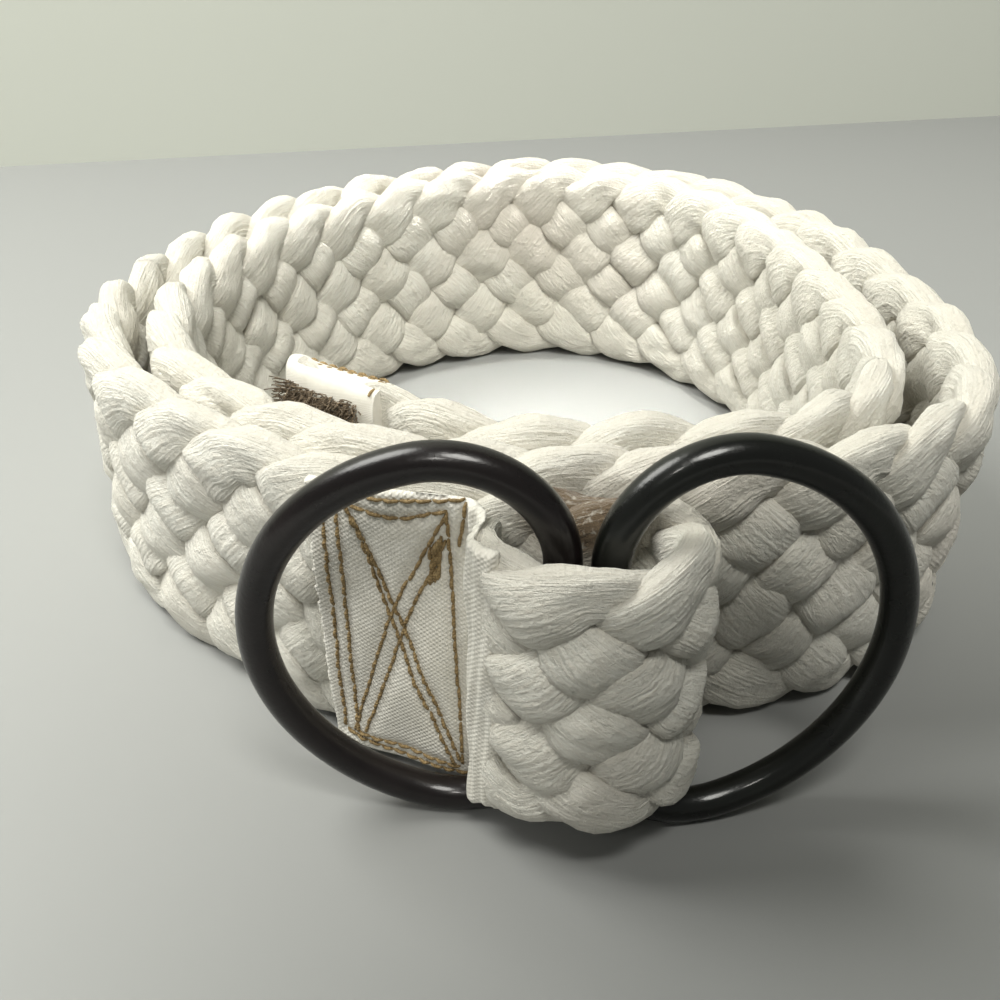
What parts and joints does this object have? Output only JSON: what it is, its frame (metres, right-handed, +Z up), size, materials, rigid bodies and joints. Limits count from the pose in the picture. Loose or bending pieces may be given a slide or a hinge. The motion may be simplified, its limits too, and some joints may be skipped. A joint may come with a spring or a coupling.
{
  "type": "braided belt with double D-ring buckle",
  "caption": "Flat braided cotton belt, coiled on its edge, with a double D-ring buckle held in a folded loop, a stitched canvas tab and a capped tip.",
  "frame": {"origin": "on the floor, under the middle of the belt's overall box", "axes": "+Z up, across the strap's width; the buckle faces -Y and +X is to the right of someone facing the buckle"},
  "size_m": [0.1528, 0.18, 0.0608],
  "materials": {
    "cotton_braid": "soft braided cotton yarn, ivory white",
    "canvas": "plain woven cotton canvas, off-white",
    "thread": "twisted sewing thread, olive brown",
    "dark_metal": "satin dark brown-black coating, lightly worn"
  },
  "bodies": {
    "coil": {"strap_outer_left": "cotton_braid", "strap_outer_back": "cotton_braid", "strap_outer_right": "cotton_braid", "strap_outer_front": "cotton_braid", "strap_inner_left": "cotton_braid", "strap_inner_back": "cotton_braid", "strap_inner_right": "cotton_braid", "strap_inner_front": "cotton_braid"},
    "buckle_end": {"strap_under_tab": "cotton_braid", "strap_behind_rings": "cotton_braid", "loop_fold": "cotton_braid", "loop_front": "cotton_braid", "tab": "canvas", "tab_stitching": "thread"},
    "inner_end": {"strap_tip": "cotton_braid", "tip_cap": "canvas", "tip_stitching": "thread"},
    "left_ring": {"d_ring_left": "dark_metal"},
    "right_ring": {"d_ring_right": "dark_metal"}
  },
  "joints": [
    {"name": "buckle_end_flex", "type": "hinge", "parent": "coil", "child": "buckle_end", "pos_m": [-0.04777, -0.05307, 0.025], "axis": [0, 0, -1], "range_deg": [0, 60]},
    {"name": "tip_flex", "type": "hinge", "parent": "coil", "child": "inner_end", "pos_m": [-0.00437, -0.04787, 0.025], "axis": [0, 0, -1], "range_deg": [0, 45]},
    {"name": "left_ring_swing", "type": "hinge", "parent": "buckle_end", "child": "left_ring", "pos_m": [0.00473, -0.07927, 0.03034], "axis": [-0.0043, -0.0609, 0.9981], "range_deg": [-3, 90]},
    {"name": "right_ring_swing", "type": "hinge", "parent": "buckle_end", "child": "right_ring", "pos_m": [0.01024, -0.08108, 0.03039], "axis": [0, 0, 1], "range_deg": [-22, 16]}
  ]
}
